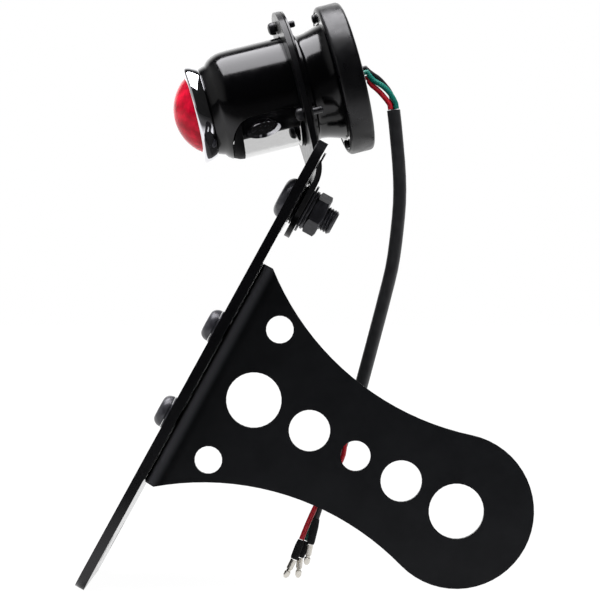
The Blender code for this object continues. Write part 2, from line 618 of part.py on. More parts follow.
def make_housing(finish, parent):
    """The bullet: a turned shell with a thin flange behind, a neck in front and the window below."""
    flange_end = HOUSING_FLANGE_START + HOUSING_FLANGE_THICKNESS
    outside = [(flange_end, RING_RADIUS), (HOUSING_FLANGE_START, RING_RADIUS),
               (HOUSING_FLANGE_START, HOUSING_RADIUS), (-20.0 * MM, HOUSING_RADIUS)]
    outside += SHOULDER
    outside += [(BEZEL_REAR + 0.3 * MM, NECK_RADIUS + 0.5 * MM), (BEZEL_REAR + 0.3 * MM, NECK_RADIUS),
                (NECK_END, NECK_RADIUS)]
    inside = [
        (NECK_END, NECK_RADIUS - HOUSING_WALL), (SHOULDER[-1][0], NECK_RADIUS - HOUSING_WALL),
        (SHOULDER[0][0], HOUSING_RADIUS - HOUSING_WALL), (flange_end, HOUSING_RADIUS - HOUSING_WALL),
    ]
    housing = build("lamp_housing", turned(outside + inside, FINE, ring=True), finish, parent)
    boolean(housing, window_prism(0, WINDOW_START), "DIFFERENCE")
    boolean(housing, screw_holes(FLANGE_SCREW_CIRCLE, FLANGE_SCREWS, 0, flange_end + MM), "DIFFERENCE")


def make_window(finish, seal_finish, parent):
    """The clear strip that closes the window, and the black band in front of it."""
    outer = HOUSING_RADIUS - WINDOW_INSET
    inner = outer - WINDOW_THICKNESS
    front = WINDOW_START + SEAT + WINDOW_SEAL
    section = [(front + SEAT, inner), (front + SEAT, outer), (0, outer), (0, inner)]
    lens = build("window_lens", turned(section, FINE, ring=True), finish, parent)
    boolean(lens, window_prism(SEAT, WINDOW_START + SEAT), "INTERSECT")
    station, radius = SHOULDER[3]
    seal_outer = [(station, radius - SEAT), (SHOULDER[1][0], SHOULDER[1][1] - SEAT), (front, outer)]
    seal_inner = [(x, r - 1.4 * MM) for x, r in reversed(seal_outer)]
    seal = build("window_seal", turned(seal_outer + seal_inner, FINE, ring=True), seal_finish, parent)
    boolean(seal, window_prism(SEAT, WINDOW_START + SEAT), "INTERSECT")


def make_lens(finish, parent):
    """The red dome, a shell with a rim that the bezel traps."""
    ball = (LENS_RADIUS ** 2 + LENS_HEIGHT ** 2) / (2 * LENS_HEIGHT)
    centre = BEZEL_FRONT - LENS_HEIGHT + ball
    half = math.asin(LENS_RADIUS / ball)
    dome = arc((centre, 0), ball, math.pi, math.pi - half, 8)
    hollow = arc((centre, 0), ball - LENS_WALL, math.pi - half, math.pi, 4)
    rim = LENS_RADIUS + 0.6 * MM
    profile = dome + [(LENS_BASE + SEAT, LENS_RADIUS), (LENS_BASE + SEAT, rim), (LENS_REAR, rim),
                      (LENS_REAR, hollow[0][1])] + hollow
    build("red_lens", turned(profile, MEDIUM), finish, parent)


def make_bezel(finish, parent):
    """The bright ring that screws over the housing's neck and holds the lens."""
    lip = LENS_RADIUS + SEAT
    bore = NECK_RADIUS + SEAT
    edge = 1.1 * MM
    front = arc((BEZEL_FRONT + edge, BEZEL_RADIUS - edge), edge, math.pi, math.pi / 2, 4)
    profile = [(BEZEL_FRONT, lip)] + front + [
        (BEZEL_FRONT + 0.45 * (BEZEL_REAR - BEZEL_FRONT), BEZEL_RADIUS - 0.15 * MM),
        (BEZEL_REAR - 0.5 * MM, BEZEL_REAR_RADIUS), (BEZEL_REAR, BEZEL_REAR_RADIUS - 0.4 * MM),
        (BEZEL_REAR, bore), (LENS_BASE, bore), (LENS_BASE, lip),
    ]
    build("bezel_ring", turned(profile, FINE, ring=True), finish, parent)


def make_rear_body(finish, parent):
    """Behind the ring: a waisted tube with a bulkhead inside and a screw flange at its end."""
    inner = min(radius for _, radius in BODY_PROFILE) - BODY_WALL
    hole = CORE_RADIUS + SEAT
    flange_end = BODY_FLANGE_START + BODY_FLANGE_THICKNESS
    bulkhead_end = BULKHEAD_START + BULKHEAD_THICKNESS
    outside = [(BODY_START, BODY_PROFILE[0][1]), *BODY_PROFILE, (BODY_FLANGE_START, BODY_PROFILE[-1][1] + 0.4 * MM),
               (BODY_FLANGE_START, BODY_FLANGE), (flange_end, BODY_FLANGE)]
    inside = [(flange_end, inner), (bulkhead_end, inner), (bulkhead_end, hole), (BULKHEAD_START, hole),
              (BULKHEAD_START, inner), (BODY_START, inner)]
    body = build("rear_body", turned(outside + inside, FINE, ring=True), finish, parent)
    boolean(body, screw_holes(CUP_SCREW_CIRCLE, CUP_SCREWS, BODY_FLANGE_START - MM, flange_end + MM), "DIFFERENCE")


def make_cup(finish, parent):
    """The end cap: a shallow cup whose thick rim takes the body's flange and its screws."""
    edge = CUP_EDGE
    hole = GROMMET_NECK + SEAT
    seat = BODY_FLANGE_START + BODY_FLANGE_THICKNESS + SEAT
    floor = CUP_REAR - CUP_WALL
    outside = arc((CUP_FRONT + edge, CUP_RADIUS - edge), edge, math.pi, math.pi / 2, 4)
    outside += arc((CUP_REAR - edge, CUP_RADIUS - edge), edge, math.pi / 2, 0, 4)
    inside = [(CUP_REAR, hole), (floor, hole), (floor, CUP_RIM), (seat, CUP_RIM), (seat, BODY_FLANGE + SEAT),
              (CUP_FRONT, BODY_FLANGE + SEAT)]
    cup = build("rear_cup", turned(outside + inside, FINE, ring=True), finish, parent)
    boolean(cup, screw_holes(CUP_SCREW_CIRCLE, CUP_SCREWS, seat - MM, CUP_SCREW_END + 0.5 * MM), "DIFFERENCE")


def make_grommet(finish, parent):
    """A rubber grommet that grips the cup's hole from both sides."""
    front, rear = CUP_REAR - CUP_WALL, CUP_REAR
    profile = [
        (front - SEAT - GROMMET_LIP, 0), (front - SEAT - GROMMET_LIP, GROMMET_RADIUS - 0.4 * MM),
        (front - SEAT, GROMMET_RADIUS), (front - SEAT, GROMMET_NECK), (rear + SEAT, GROMMET_NECK),
        (rear + SEAT, GROMMET_RADIUS), (rear + SEAT + 0.5 * GROMMET_LIP, GROMMET_RADIUS - 0.3 * MM),
        (rear + SEAT + GROMMET_LIP, GROMMET_RADIUS - 1.2 * MM), (rear + SEAT + GROMMET_LIP, 0),
    ]
    build("wire_grommet", turned(profile, COARSE), finish, parent)


def make_screws(finish, parent):
    for i, (y, z) in enumerate(screw_centres(FLANGE_SCREW_CIRCLE, FLANGE_SCREWS)):
        pan_screw(f"flange_screw_{i + 1}", finish, parent, (-SEAT, y, z), FLANGE_SCREW_HEAD,
                  FLANGE_SCREW_HEAD_HEIGHT, FLANGE_SCREW_END + SEAT)
    for i, (y, z) in enumerate(screw_centres(CUP_SCREW_CIRCLE, CUP_SCREWS)):
        pan_screw(f"cup_screw_{i + 1}", finish, parent, (BODY_FLANGE_START - SEAT, y, z), CUP_SCREW_HEAD,
                  CUP_SCREW_HEAD_HEIGHT, CUP_SCREW_END - BODY_FLANGE_START + SEAT)


def make_core(dark, bright, glass, board, parent):
    """Inside the lamp: a core that carries the lamp's board in front and a round eye below."""
    collar = BULKHEAD_START - SEAT - CORE_COLLAR_THICKNESS
    rear = BULKHEAD_START + BULKHEAD_THICKNESS + 3 * MM
    profile = [
        (CORE_FRONT, 0), (CORE_FRONT, CORE_RADIUS), (collar, CORE_RADIUS), (collar, CORE_COLLAR),
        (collar + CORE_COLLAR_THICKNESS, CORE_COLLAR), (collar + CORE_COLLAR_THICKNESS, CORE_RADIUS),
        (rear, CORE_RADIUS), (rear, 0),
    ]
    core = build("lamp_core", turned(profile, MEDIUM), dark, parent)
    pod = turned([(0, 0), (0, EYE_RADIUS - 0.5 * MM), (EYE_REACH, EYE_RADIUS - 0.5 * MM), (EYE_REACH, 0)], COARSE)
    turn_down(pod)
    boolean(core, pod, "UNION", (EYE_STATION, 0, 0), (-EYE_TURN, 0, 0))
    ring = turned([(0, EYE_HOLE), (0, EYE_RADIUS - 0.3 * MM), (0.3 * MM, EYE_RADIUS),
                   (EYE_HEIGHT - 0.3 * MM, EYE_RADIUS), (EYE_HEIGHT, EYE_RADIUS - 0.3 * MM),
                   (EYE_HEIGHT, EYE_HOLE + 0.3 * MM), (EYE_HEIGHT - 0.3 * MM, EYE_HOLE)], COARSE, ring=True)
    turn_down(ring)
    reach = EYE_REACH + SEAT
    seat = (EYE_STATION, -reach * math.sin(EYE_TURN), -reach * math.cos(EYE_TURN))
    build("eye_ring", ring, bright, parent, seat, (-EYE_TURN, 0, 0))
    disc = turned([(0, 0), (0, EYE_HOLE - SEAT), (0.5 * MM, EYE_HOLE - SEAT), (0.7 * MM, 0)], COARSE)
    turn_down(disc)
    build("eye_glass", disc, glass, parent, seat, (-EYE_TURN, 0, 0))
    plate = [(0, 0), (0, BOARD_RADIUS), (BOARD_THICKNESS, BOARD_RADIUS), (BOARD_THICKNESS, 0)]
    build("lamp_board", turned(plate, MEDIUM), board, parent, (CORE_FRONT - SEAT - BOARD_THICKNESS, 0, 0))


def turn_down(bm):
    """Turns a mesh made along X so that it points down."""
    bmesh.ops.rotate(bm, cent=(0, 0, 0), matrix=Vector((1, 0, 0)).rotation_difference((0, 0, -1)).to_matrix(),
                     verts=bm.verts)


# Cord

def smooth_route(points, spacing):
    """Evenly spaced points along a smooth curve through the given points, in millimetres."""
    knots = [Vector(p) for p in points]
    knots = [2 * knots[0] - knots[1]] + knots + [2 * knots[-1] - knots[-2]]
    dense = []
    for a, b, c, d in zip(knots, knots[1:], knots[2:], knots[3:]):
        for i in range(24):
            t = i / 24
            dense.append(0.5 * (2 * b + (c - a) * t + (2 * a - 5 * b + 4 * c - d) * t ** 2
                                + (3 * b - a - 3 * c + d) * t ** 3))
    dense.append(knots[-2])
    along = [0.0]
    for a, b in zip(dense, dense[1:]):
        along.append(along[-1] + (b - a).length)
    count = max(2, round(along[-1] * MM / spacing))
    route, k = [], 0
    for i in range(count + 1):
        want = along[-1] * i / count
        while k < len(along) - 2 and along[k + 1] < want:
            k += 1
        part = (want - along[k]) / (along[k + 1] - along[k])
        route.append(dense[k].lerp(dense[k + 1], min(part, 1.0)) * MM)
    return route


def tube(name, points, radius, finish):
    """A round cord along a route of points in millimetres."""
    route = smooth_route(points, 4 * radius)
    curve = bpy.data.curves.new(name, "CURVE")
    curve.dimensions = "3D"
    curve.bevel_depth = radius
    curve.bevel_resolution = 2
    curve.use_fill_caps = True
    spline = curve.splines.new("POLY")
    spline.points.add(len(route) - 1)
    for point, place in zip(spline.points, route):
        point.co = (*place, 1.0)
    made = bpy.data.objects.new(name, curve)
    curve.materials.append(finish)
    bpy.context.scene.collection.objects.link(made)
    return route


def along(name, profile, start, direction, finish, sides=16):
    """A turned piece whose X axis leaves start in a direction."""
    made = build(name, turned(profile, sides), finish, None, start)
    made.rotation_euler = direction.to_track_quat("X", "Z").to_euler()
    return made


def in_bundle(face, way, turn):
    """Two points in millimetres where a wire stands on a face of the sleeve: near it, and further out."""
    side = way.cross((0, 1, 0)).normalized()
    spread = (side * math.sin(math.radians(turn)) + way.cross(side) * math.cos(math.radians(turn))) * 1.3 * WIRE
    return [(face + spread + way * rise) / MM for rise in (1.2 * SEAT, WIRE_LEAD)]


def make_cord(sleeve, rubber, metal, colours, lamp_place):
    """The sleeved cord: it leaves the grommet and hangs behind the arm, its terminals just off the floor."""
    run = tube("wire_sleeve", SLEEVE_ROUTE, SLEEVE, sleeve)
    top_way, end_way = (run[0] - run[1]).normalized(), (run[-1] - run[-2]).normalized()
    face = CUP_REAR + SEAT + GROMMET_LIP + WIRE_GAP
    for colour, (offset, turn, way) in UPPER_WIRES.items():
        leave = [lamp_place @ Vector((x, *(Vector(offset) * MM))) / MM for x in (face, face + WIRE_LEAD)]
        near, lead = in_bundle(run[0], top_way, turn)
        tube(f"wire_{colour}_upper", (*leave, *way, lead, near), WIRE, colours[colour])
    for colour, (turn, way) in LOWER_WIRES.items():
        route = tube(f"wire_{colour}_lower", (*in_bundle(run[-1], end_way, turn), *way), WIRE, colours[colour])
        end, tip = Vector(BOOT_ENDS[colour]) * MM, Vector(TERMINAL_TIPS[colour]) * MM
        start = route[-1] + (end - route[-1]).normalized() * SEAT
        length = (end - start).length
        boot = [(0, 0), (0, BOOT * 0.8), (0.3 * length, BOOT), (0.9 * length, BOOT), (length, BOOT * 0.85),
                (length, 0)]
        along(f"boot_{colour}", boot, start, end - start, rubber)
        way = (tip - end).normalized()
        start = end + way * SEAT
        length = (tip - start).length
        pin = [(0, 0), (0, TERMINAL), (0.5 * length, TERMINAL), (0.54 * length, TERMINAL * 0.7),
               (0.62 * length, TERMINAL * 0.7), (0.66 * length, TERMINAL), (0.88 * length, TERMINAL * 0.95),
               (length, TERMINAL * 0.4), (length, 0)]
        along(f"bullet_terminal_{colour}", pin, start, way, metal)


# Whole object

def clear_scene():
    for thing in list(bpy.data.objects):
        bpy.data.objects.remove(thing)


def main():
    clear_scene()
    satin = material("satin_black", (0.009, 0.009, 0.010), 0.42, 0.1)
    powder = material("plate_black", (0.014, 0.014, 0.016), 0.5)
    dark_steel = material("black_steel", (0.03, 0.03, 0.032), 0.4, 0.6)
    gloss = material("gloss_black", (0.004, 0.004, 0.005), 0.08)
    chrome = material("chrome", (0.8, 0.8, 0.8), 0.06, 1.0)
    red = material("red_lens", (0.6, 0.01, 0.03), 0.15)
    clear = material("clear_lens", (0.9, 0.9, 0.9), 0.05, 0.0, 1.0)
    rubber = material("black_rubber", (0.02, 0.02, 0.02), 0.7)
    sleeve = material("black_sleeve", (0.022, 0.024, 0.026), 0.45)
    tin = material("tinned_brass", (0.72, 0.72, 0.7), 0.25, 1.0)
    board = material("green_board", (0.02, 0.12, 0.05), 0.5)
    colours = {
        "black": material("black_wire", (0.01, 0.01, 0.01), 0.4),
        "green": material("green_wire", (0.0, 0.19, 0.14), 0.4),
        "red": material("red_wire", (0.7, 0.02, 0.03), 0.4),
    }

    stand = empty("stand", None, (STAND_SHIFT, 0, STAND_RISE), (0, LEAN, 0))
    turn = empty("lamp_turn", stand, (0, 0, LAMP_BOLT_RISE), (LAMP_TURN, 0, 0))
    lamp = empty("lamp", turn, (LAMP_ORIGIN[0], 0, LAMP_ORIGIN[1]), (0, -LAMP_TILT, 0))

    make_plate(powder, stand)
    make_arm(satin, stand)
    make_arm_bolts(dark_steel, stand)
    make_lamp_bolt(dark_steel, turn)
    make_bracket(satin, turn)
    make_housing(gloss, lamp)
    make_window(clear, rubber, lamp)
    make_bezel(chrome, lamp)
    make_lens(red, lamp)
    make_rear_body(gloss, lamp)
    make_cup(gloss, lamp)
    make_grommet(rubber, lamp)
    make_screws(dark_steel, lamp)
    make_core(rubber, chrome, gloss, board, lamp)
    bpy.context.view_layer.update()
    make_cord(sleeve, rubber, tin, colours, lamp.matrix_world)


main()
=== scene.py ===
"""Looks of the side mount license plate holder: materials, cords, threads, light and camera.

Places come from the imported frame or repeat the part's own sizes. Lengths are in metres, apart from the
cords' routes, whose points are in millimetres.
"""

import math

import bmesh
import bpy
from mathutils import Matrix, Vector


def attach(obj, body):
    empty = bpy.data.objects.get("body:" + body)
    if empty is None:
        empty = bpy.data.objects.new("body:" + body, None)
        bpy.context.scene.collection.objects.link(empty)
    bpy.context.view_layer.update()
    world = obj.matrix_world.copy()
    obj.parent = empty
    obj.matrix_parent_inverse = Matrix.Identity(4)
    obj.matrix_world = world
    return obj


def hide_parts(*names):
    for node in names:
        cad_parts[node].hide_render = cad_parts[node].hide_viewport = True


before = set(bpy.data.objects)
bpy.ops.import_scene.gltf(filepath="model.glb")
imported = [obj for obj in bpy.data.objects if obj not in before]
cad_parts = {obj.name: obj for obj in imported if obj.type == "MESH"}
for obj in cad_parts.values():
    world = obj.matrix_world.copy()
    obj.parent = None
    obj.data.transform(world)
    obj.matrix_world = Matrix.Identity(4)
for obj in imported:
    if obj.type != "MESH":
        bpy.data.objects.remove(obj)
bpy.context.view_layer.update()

MM = 0.001
BODY = "root"

# Camera of the photograph: level, looking along +Y
CAMERA_PLACE = (-0.00172, -1.2508, 0.10142)
CAMERA_LENS = 207.4
SENSOR = 36.0

# Plate and arm, as in the part's source
SEAT = 0.25 * MM  # the gap kept between pieces that bear on each other
PLATE_LENGTH = 177.8 * MM
PLATE_WIDTH = 101.6 * MM
PLATE_THICKNESS = 3.5 * MM
SHEET = 3.2 * MM  # thickness of the arm
ARM_BEND = 6.8 * MM  # outer radius of the fold
ARM_REACH = 101.3 * MM  # from the plate's front face to the axle hole
ARM_DROP = 2.2 * MM  # how far the arm's axis lies below the plate's centre
ARM_END_RADIUS = 27.26 * MM
FLANGE_HALF_LENGTH = 43.7 * MM
FLANGE_DEPTH = 26.0 * MM
WEB_INSET = 12.8 * MM  # from the plate's side edge to the web's outer face

# Bolts, as in the part's source, with the thread and the socket that its plain shanks leave out
ARM_BOLT = {
    "head": 6.0 * MM, "flat": 3.4 * MM, "height": 3.3 * MM, "shank": 3.0 * MM,
    "thread": 8.0 * MM, "pitch": 0.8 * MM, "socket": 4.0 * MM,
}
ARM_BOLT_RISE = 17.4 * MM  # either side of their middle
ARM_BOLT_DROP = 3.7 * MM  # how far their middle lies below the plate's centre
ARM_WASHER_THICKNESS = 0.7 * MM
ARM_NUT_HEIGHT = 5.0 * MM
ARM_THREAD_PAST_NUT = 3.0 * MM
LAMP_BOLT = {
    "head": 7.9 * MM, "flat": 4.4 * MM, "height": 3.4 * MM, "shank": 4.75 * MM,
    "thread": 9.5 * MM, "pitch": 1.06 * MM, "socket": 5.6 * MM,
}
LAMP_BOLT_BELOW_TOP = 22.3 * MM
SPACER_THICKNESS = 0.6 * MM
LAMP_WASHER_THICKNESS = 0.8 * MM
LOCK_WASHER_THICKNESS = 1.0 * MM
LAMP_NUT_HEIGHT = 5.0 * MM
LAMP_THREAD_PAST_NUT = 4.4 * MM

# Lamp and its strap, as in the part's source
LAMP_TURN = math.radians(-7.0)  # the lamp is turned a little about its bolt
LAMP_DIP = math.radians(14.3)  # its axis points this far below the horizontal
STRAP_THICKNESS = 2.06 * MM
STRAP_BEND = 11.0 * MM  # radius of the bend's middle
STRAP_RISE = 7.0 * MM  # from the bolt to the start of the bend
TAB_STRAIGHT = 29.2 * MM  # from the end of the bend to the ring's centre
CUP_REAR = 24.05 * MM
GROMMET_LIP = 1.3 * MM
CORE_FRONT = -21.2 * MM
EYE_STATION = -13.75 * MM
EYE_TURN = math.radians(17.0)
EYE_REACH = 11.0 * MM  # from the lamp's axis to the eye's seat
EYE_RADIUS = 6.4 * MM
EYE_HOLE = 5.2 * MM
EYE_HEIGHT = 1.2 * MM
EYE_LIP = 0.15 * MM  # rounding of the ring's front edge
EYE_FUNNEL_END = 0.2 * MM  # from the ring's front

# Black tube round the lamp's core, open over the eye
SHROUD_REAR = 1.7 * MM
SHROUD_RADIUS = 12.9 * MM
SHROUD_WALL = 0.8 * MM
SHROUD_HOLE = 6.6 * MM
SHROUD_DRILL_LENGTH = 12.0 * MM

# Fillings of the gaps between clamped pieces
SEAM_ROOM = 0.03 * MM  # left free on either side of a filling
LAMP_SEAM = (5.1 * MM, 7.0 * MM)  # inner and outer radius
ARM_SEAM = (3.4 * MM, 5.6 * MM)
FLANGE_SEAM_DEPTH = -28.0 * MM  # its middle, across the plate
FLANGE_SEAM_WIDTH = 3.0 * MM
FLANGE_SEAM_INSET = 0.3 * MM  # from the flange's ends

# Sides of a turned piece of the lamp, of a drill and of a bolt
LAMP_SIDES, DRILL_SIDES, BOLT_SIDES = 96, 64, 48

# Cord, as in the part's source: the routes' points are in millimetres
SLEEVE = 2.45 * MM
WIRE = 0.97 * MM
WIRE_GAP = 0.7 * MM  # from the grommet's face to a wire's end
WIRE_SEAT = 0.3 * MM  # from the sleeve's end to a wire's end
WIRE_LEAD = 2.0 * MM  # the straight run of a wire at the grommet and at the sleeve
BUNDLE = 1.3 * WIRE  # from the sleeve's axis to a wire's axis
SLEEVE_ROUTE = (
    (32.3, 5.6, 170.4), (32.8, 5.5, 166.0), (34.2, 5.0, 150.1), (34.5, 4.5, 139.5), (33.8, 4.2, 129.4),
    (31.9, 3.6, 114.7), (28.8, 3.1, 101.8), (24.9, 2.5, 87.0), (20.9, 2.0, 72.1), (16.6, 1.5, 56.6),
)
UPPER_WIRES = {  # place at the grommet, across and above its centre; place in the sleeve; the way between
    "black": ((0.9, 1.9), 180,
              ((23.7, 7.4, 184.1), (26.6, 7.5, 182.2), (29.0, 7.3, 179.7), (31.3, 7.1, 176.4))),
    "green": ((-0.9, 0.0), -60, ((24.4, 5.4, 181.6), (28.1, 4.9, 179.3), (31.2, 4.8, 176.2))),
    "red": ((0.6, -1.8), 60, ((23.7, 6.2, 180.2), (26.6, 5.7, 177.7), (29.1, 5.2, 174.9))),
}
LOWER_WIRES = {  # place in the sleeve; the way to the boot
    "red": (60, ((14.7, 0.5, 50.0), (13.8, 0.3, 45.0), (10.9, 0.2, 39.0), (6.9, 0.1, 32.0), (3.7, 0.0, 26.2),
                 (0.9, 0.0, 20.0), (-1.2, 0.0, 14.8))),
    "green": (180, ((14.9, 3.2, 49.4), (12.4, 3.4, 44.0), (9.9, 3.3, 38.0), (7.6, 3.1, 32.0),
                    (5.2, 2.9, 25.6), (2.6, 2.6, 19.0), (0.5, 2.4, 14.2))),
    "black": (-60, ((13.0, -1.4, 49.2), (11.7, -2.2, 44.0), (10.2, -2.5, 38.6), (8.1, -2.5, 33.0),
                    (6.0, -2.3, 27.6), (4.3, -2.0, 22.6))),
}

# The stance follows from the sizes: the plate's front lower edge and the arm's end are level
FOOT_TO_AXLE = math.hypot(ARM_REACH, PLATE_LENGTH / 2 - ARM_DROP)
LEAN = math.acos(ARM_END_RADIUS / FOOT_TO_AXLE) - math.atan2(ARM_REACH, PLATE_LENGTH / 2 - ARM_DROP)
HEEL = -PLATE_THICKNESS * math.cos(LEAN) - PLATE_LENGTH / 2 * math.sin(LEAN)
TOE = ARM_REACH * math.cos(LEAN) - ARM_DROP * math.sin(LEAN) + ARM_END_RADIUS
STAND = (Matrix.Translation((-(HEEL + TOE) / 2, 0, PLATE_LENGTH / 2 * math.cos(LEAN)))
         @ Matrix.Rotation(LEAN, 4, "Y"))

# Frames of the bolts, whose X leaves the plate's front face
WEB_FACE_DEPTH = WEB_INSET - PLATE_WIDTH / 2
ARM_BOLT_DEPTH = WEB_FACE_DEPTH + (ARM_BEND + FLANGE_DEPTH) / 2
ARM_BOLT_FRAMES = {
    where: STAND @ Matrix.Translation((0, ARM_BOLT_DEPTH, side * ARM_BOLT_RISE - ARM_BOLT_DROP))
    for where, side in (("upper", 1), ("lower", -1))
}
LAMP_BOLT_FRAME = (STAND @ Matrix.Translation((0, 0, PLATE_LENGTH / 2 - LAMP_BOLT_BELOW_TOP))
                   @ Matrix.Rotation(LAMP_TURN, 4, "X"))

# Frame of the lamp, whose X runs back along its axis from the ring's front face
LAMP_TILT = LAMP_DIP + LEAN
STRAP_MIDDLE = SEAT + SPACER_THICKNESS + SEAT + STRAP_THICKNESS / 2
LAMP_ORIGIN = (
    STRAP_MIDDLE - STRAP_BEND * (1 - math.cos(LAMP_TILT)) - TAB_STRAIGHT * math.sin(LAMP_TILT)
    - STRAP_THICKNESS / 2 * math.cos(LAMP_TILT),
    0,
    STRAP_RISE + STRAP_BEND * math.sin(LAMP_TILT) + TAB_STRAIGHT * math.cos(LAMP_TILT)
    - STRAP_THICKNESS / 2 * math.sin(LAMP_TILT),
)
LAMP = LAMP_BOLT_FRAME @ Matrix.Translation(LAMP_ORIGIN) @ Matrix.Rotation(-LAMP_TILT, 4, "Y")
WIRE_STATION = CUP_REAR + SEAT + GROMMET_LIP + WIRE_GAP  # where the wires leave the grommet
EYE = (LAMP @ Matrix.Translation((EYE_STATION, 0, 0)) @ Matrix.Rotation(-EYE_TURN, 4, "X")
       @ Matrix.Translation((0, 0, -EYE_REACH - SEAT)) @ Matrix.Rotation(math.pi / 2, 4, "Y"))

# The arm's fold, where a painted highlight brightens the coat's colour
PAINTED_HIGHLIGHT_OUT = (-0.5 * MM, 5.6 * MM)  # full and gone, from the plate's front face
PAINTED_HIGHLIGHT_ACROSS = (-0.6 * MM, 1.8 * MM)  # full and gone, from the web's inner face

# Readings of the noise between which a colour and a roughness change
COLOUR_SPAN = (0.35, 0.65)
ROUGH_SPAN = (0.3, 0.7)

# Lamps
LAMP_TINT = (0.975, 0.965, 1.0)
SOFTBOX_ABOVE = {
    "place": (-0.175, 0.04, 1.10), "target": (-0.175, 0.04, 0.0), "size": (0.95, 0.96), "radiance": 8.6,
}
SOFTBOX_LEFT = {
    "place": (-0.98, -0.76, 0.60), "target": (0, 0, 0.1), "size": (0.45, 0.7), "radiance": 1.8,
    "mirrored": False,
}

# The room, as reflections see it: dark, with a white backdrop and a card on the left
ROOM, BACKDROP, LEFT_CARD = 0.012, 1.6, 0.4
BACKDROP_SPAN = (0.62, 0.92)  # dark and full, as the Y of a direction
CARD_SPAN = (-0.5, -0.85)  # dark and full, as the X of a direction
AMBIENT = 0.5  # what the room adds to the lamps

# Floor
FLOOR_RADIUS = 12
FLOOR_WHITE = 1.06
FLOOR_IN_FRONT, FLOOR_BEHIND = 0.05, 0.6  # how much of the lamps' light it gives back: painted darker in front, a painted shade for the dark room there
PAINTED_SHADE_SPAN = (-0.34, -0.08)  # where along Y that changes
MIRRORED_SPAN = (-0.08, 0.0)  # from here on back, reflections see it white
SHADOW_SHARE = 0.07  # how much of the lit surface the camera sees near the object, for a faint shadow
SHADOW_SPAN = (0.2, 0.6)  # where that fades, from the object's middle


# Shader nodes

def srgb(red, green, blue):
    """A colour picked from the photograph, 0 to 255, as the linear values that a shader takes."""
    def linear(value):
        value /= 255
        return value / 12.92 if value <= 0.04045 else ((value + 0.055) / 1.055) ** 2.4
    return (linear(red), linear(green), linear(blue), 1.0)


def mapped(tree, source, span, values, interpolation="SMOOTHSTEP"):
    """A value that goes from the first to the last of two values while its source crosses a span."""
    made = tree.nodes.new("ShaderNodeMapRange")
    made.interpolation_type = interpolation
    for socket, value in zip(("From Min", "From Max", "To Min", "To Max"), (*span, *values)):
        made.inputs[socket].default_value = value
    tree.links.new(source, made.inputs["Value"])
    return made.outputs["Result"]


def calculate(tree, operation, *sources):
    """A maths node over its sources."""
    made = tree.nodes.new("ShaderNodeMath")
    made.operation = operation
    for socket, source in zip(made.inputs, sources):
        tree.links.new(source, socket)
    return made.outputs[0]


def seen_by_camera(tree, path):
    """1 where the camera looks, straight or through glass."""
    return calculate(tree, "MAXIMUM", path.outputs["Is Camera Ray"], path.outputs["Is Transmission Ray"])


class Shader:
    """A Principled material with helpers for its procedural detail, in object coordinates."""

    def __init__(self, name, roughness, metallic=0.0, **sockets):
        self.material = bpy.data.materials.new(name)
        self.material.use_nodes = True
        self.tree = self.material.node_tree
        self.shader = self.tree.nodes["Principled BSDF"]
        self.shader.inputs["Roughness"].default_value = roughness
        self.shader.inputs["Metallic"].default_value = metallic
        for socket, value in sockets.items():
            self.shader.inputs[socket.replace("_", " ")].default_value = value
        self.place = self.tree.nodes.new("ShaderNodeTexCoord").outputs["Object"]

    def link(self, start, end):
        self.tree.links.new(start, end)

    def noise(self, scale, detail):
        """Noise with about scale features in a metre."""
        made = self.tree.nodes.new("ShaderNodeTexNoise")
        made.inputs["Scale"].default_value = scale
        made.inputs["Detail"].default_value = detail
        self.link(self.place, made.inputs["Vector"])
        return made.outputs["Fac"]

    def wander(self, source, first, second):
        """A colour that wanders between two colours."""
        made = self.tree.nodes.new("ShaderNodeValToRGB")
        for element, position, colour in zip(made.color_ramp.elements, COLOUR_SPAN, (first, second)):
            element.position, element.color = position, colour
        self.link(source, made.inputs["Fac"])
        return made.outputs["Color"]

    def colour(self, source, first, second):
        self.link(self.wander(source, first, second), self.shader.inputs["Base Color"])

    def rough(self, source, low, high):
        roughness = mapped(self.tree, source, ROUGH_SPAN, (low, high), "LINEAR")
        self.link(roughness, self.shader.inputs["Roughness"])

    def bump(self, source, strength, depth, edge=0.0):
        """A bumped normal; edge rounds the sharp edges in the shading."""
        made = self.tree.nodes.new("ShaderNodeBump")
        made.inputs["Strength"].default_value = strength
        made.inputs["Distance"].default_value = depth
        self.link(source, made.inputs["Height"])
        if edge:
            rounded = self.tree.nodes.new("ShaderNodeBevel")
            rounded.samples = 6
            rounded.inputs["Radius"].default_value = edge
            self.link(rounded.outputs["Normal"], made.inputs["Normal"])
        for socket in ("Normal", "Coat Normal"):
            self.link(made.outputs["Normal"], self.shader.inputs[socket])


# Materials

def powder_coat(made, roughness, edge):
    """Patches of gloss and a fine orange peel."""
    made.rough(made.noise(400, 2), *roughness)
    made.bump(made.noise(1600, 3), 0.10, 0.04 * MM, edge)


def coated_steel(name, dark, light, roughness, specular, coat, coat_roughness, edge):
    """Black powder coat under a clear gloss."""
    made = Shader(name, roughness, Specular_IOR_Level=specular, Coat_Weight=coat,
                  Coat_Roughness=coat_roughness)
    made.colour(made.noise(90, 2), dark, light)
    powder_coat(made, (roughness - 0.05, roughness + 0.06), edge)
    return made.material


